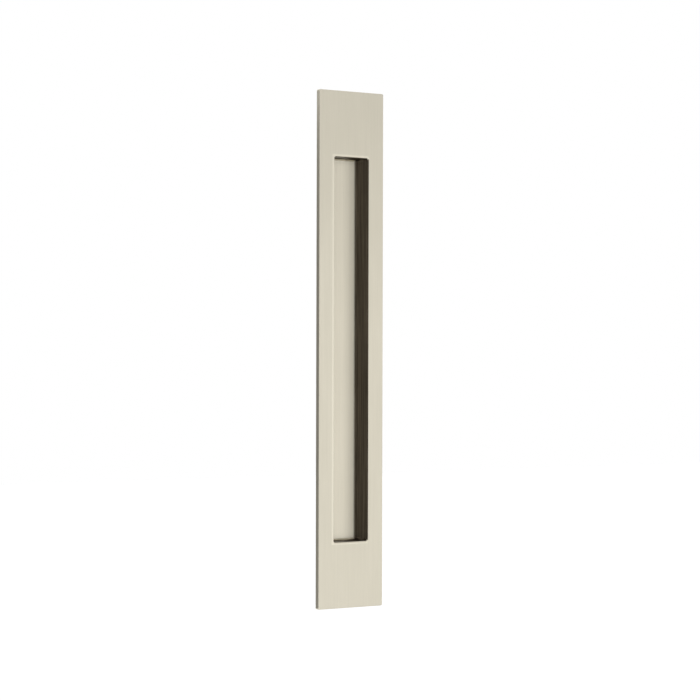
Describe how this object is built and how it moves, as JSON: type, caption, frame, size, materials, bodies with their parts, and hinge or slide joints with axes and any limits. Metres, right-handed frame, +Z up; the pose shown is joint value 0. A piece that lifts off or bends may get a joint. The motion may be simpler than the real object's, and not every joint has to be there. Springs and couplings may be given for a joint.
{
  "type": "pocket door pull",
  "caption": "Long rectangular flush pull in satin nickel: a flat face plate with a deep finger recess whose cup sits in a pocket cut in a sliding door.",
  "frame": {"origin": "centre of the plate's rear face, which seats on the face of the door", "axes": "+Z up the length of the pull; +Y into the door, so that the front of the plate looks along -Y"},
  "size_m": [0.0444, 0.0147, 0.3048],
  "materials": {
    "satin_nickel": "satin nickel plate over brass, brushed along the length"
  },
  "bodies": {
    "root": {"pull_body": "satin_nickel"}
  },
  "joints": []
}
